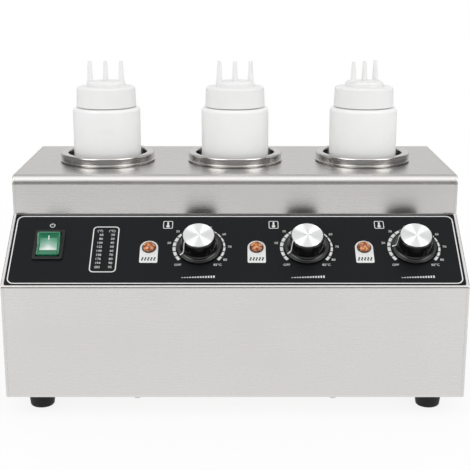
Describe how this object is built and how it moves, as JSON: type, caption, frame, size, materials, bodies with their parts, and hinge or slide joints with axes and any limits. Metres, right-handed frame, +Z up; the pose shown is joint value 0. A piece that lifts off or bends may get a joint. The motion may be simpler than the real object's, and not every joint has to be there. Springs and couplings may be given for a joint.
{
  "type": "hot fudge topping warmer",
  "caption": "Counter-top stainless warmer with a sloped dial console and round wells that keep capped squeeze bottles of sauce hot.",
  "frame": {"origin": "centre of the overall box on the plane of the feet", "axes": "+Z up, +X to the right seen from the front, and the console faces -Y"},
  "size_m": [0.47, 0.284, 0.3459],
  "materials": {
    "stainless_sheet": "satin",
    "black_plate": "satin",
    "rubber_feet": "matte",
    "zinc_screws": "satin",
    "drawn_steel": "polished",
    "mica_band": "matte",
    "ceramic_wool": "matte",
    "copper_bulb": "satin",
    "thermostat_case": "satin",
    "amber_lens": "clear",
    "lamp_body": "satin",
    "switch_nylon": "satin",
    "green_rocker": "gloss",
    "glazed_block": "glazed",
    "brass_stud": "satin",
    "gland_nylon": "satin",
    "silicone_wire": "matte",
    "phenolic_knob": "gloss",
    "spun_aluminium": "spun",
    "milky_polythene": "translucent"
  },
  "bodies": {
    "casing": {"top_deck": "stainless_sheet", "front_panel": "stainless_sheet", "left_side_panel": "stainless_sheet", "right_side_panel": "stainless_sheet", "rear_panel": "stainless_sheet", "base_plate": "stainless_sheet", "console_plate": "black_plate", "foot_front_left": "rubber_feet", "foot_front_right": "rubber_feet", "foot_rear_left": "rubber_feet", "foot_rear_right": "rubber_feet", "foot_screws": "zinc_screws", "rear_panel_screws": "zinc_screws", "base_plate_screws": "zinc_screws", "heater_clamp_screws": "zinc_screws", "thermostat_screws": "zinc_screws", "sensor_clips": "zinc_screws", "well_pot_left": "drawn_steel", "well_pot_middle": "drawn_steel", "well_pot_right": "drawn_steel", "well_collar_left": "drawn_steel", "well_collar_middle": "drawn_steel", "well_collar_right": "drawn_steel", "heater_band_left": "mica_band", "heater_band_middle": "mica_band", "heater_band_right": "mica_band", "insulation_sleeves": "ceramic_wool", "sensor_bulb_left": "copper_bulb", "sensor_bulb_middle": "copper_bulb", "sensor_bulb_right": "copper_bulb", "thermostat_left": "thermostat_case", "thermostat_middle": "thermostat_case", "thermostat_right": "thermostat_case", "lamp_lens_left": "amber_lens", "lamp_lens_middle": "amber_lens", "lamp_lens_right": "amber_lens", "lamp_holders": "lamp_body", "switch_housing": "switch_nylon", "terminal_block": "glazed_block", "earth_stud": "brass_stud", "cord_gland": "gland_nylon", "gland_locknut": "gland_nylon", "wiring_harness": "silicone_wire"},
    "rocker": {"switch_rocker": "green_rocker"},
    "dial_left": {"knob_left": "phenolic_knob", "knob_disc_left": "spun_aluminium", "thermostat_shaft_left": "thermostat_case"},
    "dial_middle": {"knob_middle": "phenolic_knob", "knob_disc_middle": "spun_aluminium", "thermostat_shaft_middle": "thermostat_case"},
    "dial_right": {"knob_right": "phenolic_knob", "knob_disc_right": "spun_aluminium", "thermostat_shaft_right": "thermostat_case"},
    "bottle_left": {"bottle_left": "milky_polythene"},
    "bottle_middle": {"bottle_middle": "milky_polythene"},
    "bottle_right": {"bottle_right": "milky_polythene"},
    "cap_left": {"bottle_cap_left": "milky_polythene"},
    "cap_middle": {"bottle_cap_middle": "milky_polythene"},
    "cap_right": {"bottle_cap_right": "milky_polythene"}
  },
  "joints": [
    {"name": "rocker_tip", "type": "hinge", "parent": "casing", "child": "rocker", "pos_m": [-0.192, -0.09682, 0.16813], "axis": [-1, 0, 0], "range_deg": [0, 29]},
    {"name": "dial_left_turn", "type": "hinge", "parent": "casing", "child": "dial_left", "pos_m": [-0.0371, -0.10089, 0.16824], "axis": [0, 0.5605, -0.8281], "range_deg": [-5.9, 255.1]},
    {"name": "dial_middle_turn", "type": "hinge", "parent": "casing", "child": "dial_middle", "pos_m": [0.07355, -0.10089, 0.16824], "axis": [0, 0.5605, -0.8281], "range_deg": [-10.9, 250.1]},
    {"name": "dial_right_turn", "type": "hinge", "parent": "casing", "child": "dial_right", "pos_m": [0.1842, -0.10089, 0.16824], "axis": [0, 0.5605, -0.8281], "range_deg": [-37.9, 223.1]},
    {"name": "bottle_left_lift", "type": "slide", "parent": "casing", "child": "bottle_left", "axis": [0, 0, 1], "range_m": [0, 0.15]},
    {"name": "bottle_middle_lift", "type": "slide", "parent": "casing", "child": "bottle_middle", "axis": [0, 0, 1], "range_m": [0, 0.15]},
    {"name": "bottle_right_lift", "type": "slide", "parent": "casing", "child": "bottle_right", "axis": [0, 0, 1], "range_m": [0, 0.15]},
    {"name": "cap_left_lift", "type": "slide", "parent": "bottle_left", "child": "cap_left", "axis": [0, 0, 1], "range_m": [0, 0.05]},
    {"name": "cap_middle_lift", "type": "slide", "parent": "bottle_middle", "child": "cap_middle", "axis": [0, 0, 1], "range_m": [0, 0.05]},
    {"name": "cap_right_lift", "type": "slide", "parent": "bottle_right", "child": "cap_right", "axis": [0, 0, 1], "range_m": [0, 0.05]}
  ]
}
